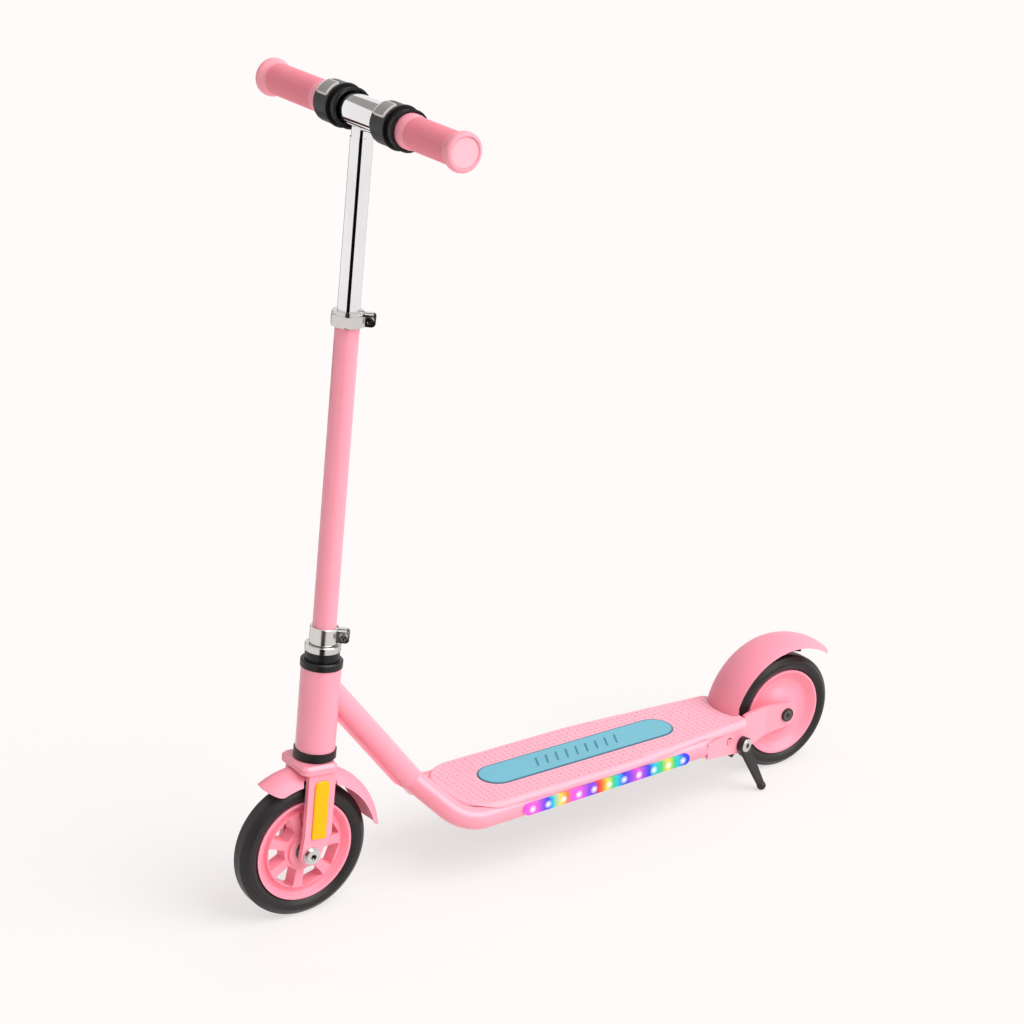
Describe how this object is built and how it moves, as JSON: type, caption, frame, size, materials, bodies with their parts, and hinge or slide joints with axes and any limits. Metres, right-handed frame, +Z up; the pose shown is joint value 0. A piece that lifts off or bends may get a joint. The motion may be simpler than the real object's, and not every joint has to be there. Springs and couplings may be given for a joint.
{
  "type": "kick_scooter",
  "caption": "Child's pink kick scooter with a sliding chrome T-bar, plug-in grips, rainbow light strips, a blue deck pad, a step-on rear fender brake and a kickstand.",
  "frame": {"origin": "on the ground under the middle of the overall box", "axes": "X forward, Y to the rider's left, Z up"},
  "size_m": [0.7642, 0.345, 0.8439],
  "materials": {
    "pink_paint": "gloss",
    "pink_plastic": "gloss",
    "deck_pink": "satin",
    "pad_blue": "matte",
    "grip_pink": "matte",
    "grip_end_pink": "gloss",
    "light_button_pink": "gloss",
    "tyre_black": "matte",
    "black_plastic": "satin",
    "grey_plastic": "satin",
    "chrome": "polished",
    "bright_steel": "satin",
    "plain_steel": "satin",
    "amber": "gloss",
    "clear_lens": "clear",
    "light_board_white": "gloss",
    "stand_black": "satin",
    "cell_green": "satin",
    "brake_rubber": "matte"
  },
  "bodies": {
    "frame": {"head_tube": "pink_paint", "down_tube": "pink_paint", "left_rail": "pink_paint", "right_rail": "pink_paint", "left_dropout": "pink_paint", "right_dropout": "pink_paint", "rear_bridge": "pink_paint", "deck_tray": "deck_pink", "deck_pad": "pad_blue", "under_cover": "black_plastic", "battery_door": "black_plastic", "battery_door_screws": "bright_steel", "battery_cells": "cell_green", "light_boards": "light_board_white", "light_lenses": "clear_lens", "lower_headset_cup": "black_plastic", "upper_headset_cup": "black_plastic", "rear_axle": "plain_steel", "rear_axle_caps": "grey_plastic", "rear_axle_spacers": "plain_steel", "brake_pin": "plain_steel", "brake_spring": "plain_steel", "kickstand_bracket": "stand_black", "kickstand_bolt": "bright_steel"},
    "steering": {"fork": "pink_paint", "front_fender": "pink_plastic", "reflectors": "amber", "headset_bearings": "plain_steel", "headset_locknut": "bright_steel", "stem_tube": "pink_paint", "stem_clamp": "bright_steel", "height_clamp": "bright_steel", "clamp_bolts": "bright_steel", "front_axle": "bright_steel", "front_axle_nut": "bright_steel", "front_axle_spacers": "plain_steel"},
    "front_wheel": {"front_tyre": "tyre_black", "front_rim": "pink_plastic", "front_bearings": "plain_steel", "front_bearing_spacer": "plain_steel"},
    "rear_wheel": {"rear_tyre": "tyre_black", "rear_rim": "pink_plastic", "rear_bearings": "plain_steel", "rear_bearing_spacer": "plain_steel"},
    "sliding_bar": {"handlebar": "chrome", "left_collar": "black_plastic", "right_collar": "black_plastic"},
    "left_button": {"left_release_button": "grey_plastic"},
    "right_button": {"right_release_button": "grey_plastic"},
    "left_handgrip": {"left_grip": "grip_pink", "left_grip_tube": "bright_steel", "left_grip_end": "grip_end_pink"},
    "right_handgrip": {"right_grip": "grip_pink", "right_grip_tube": "bright_steel", "right_grip_end": "grip_end_pink"},
    "rear_brake": {"brake_fender": "pink_plastic", "brake_block": "brake_rubber"},
    "kickstand": {"kickstand_leg": "stand_black"},
    "light_switch_button": {"light_button": "light_button_pink"}
  },
  "joints": [
    {"name": "steering_turn", "type": "hinge", "parent": "frame", "child": "steering", "pos_m": [0.29991, 0, 0.07191], "axis": [-0.0889, 0, 0.996], "range_deg": [-90, 90]},
    {"name": "front_wheel_spin", "type": "hinge", "parent": "steering", "child": "front_wheel", "pos_m": [0.30938, 0, 0.07275], "axis": [0, 1, 0], "continuous": true},
    {"name": "rear_wheel_spin", "type": "hinge", "parent": "frame", "child": "rear_wheel", "pos_m": [-0.31512, 0, 0.067], "axis": [0, 1, 0], "continuous": true},
    {"name": "handlebar_height", "type": "slide", "parent": "steering", "child": "sliding_bar", "axis": [-0.0889, 0, 0.996], "range_m": [-0.15, 0.03]},
    {"name": "left_release_press", "type": "slide", "parent": "sliding_bar", "child": "left_button", "axis": [-0.5577, 0, -0.83], "range_m": [0, 0.002], "stiffness_N_per_m": 500, "springref_m": -0.002},
    {"name": "right_release_press", "type": "slide", "parent": "sliding_bar", "child": "right_button", "axis": [-0.5577, 0, -0.83], "range_m": [0, 0.002], "stiffness_N_per_m": 500, "springref_m": -0.002},
    {"name": "left_grip_pull", "type": "slide", "parent": "sliding_bar", "child": "left_handgrip", "axis": [0, 1, 0], "range_m": [0, 0.03]},
    {"name": "right_grip_pull", "type": "slide", "parent": "sliding_bar", "child": "right_handgrip", "axis": [0, -1, 0], "range_m": [0, 0.03]},
    {"name": "rear_brake_press", "type": "hinge", "parent": "frame", "child": "rear_brake", "pos_m": [-0.24063, 0, 0.074], "axis": [0, -1, 0], "range_deg": [0, 3.5], "stiffness_Nm_per_rad": 2, "springref_deg": -3.44},
    {"name": "kickstand_fold", "type": "hinge", "parent": "frame", "child": "kickstand", "pos_m": [-0.23813, 0.03331, 0.057], "axis": [-0.2913, 0.9566, 0], "range_deg": [0, 85]},
    {"name": "light_button_press", "type": "slide", "parent": "frame", "child": "light_switch_button", "axis": [0.2913, -0.9566, 0], "range_m": [0, 0.001], "stiffness_N_per_m": 500, "springref_m": -0.001}
  ]
}
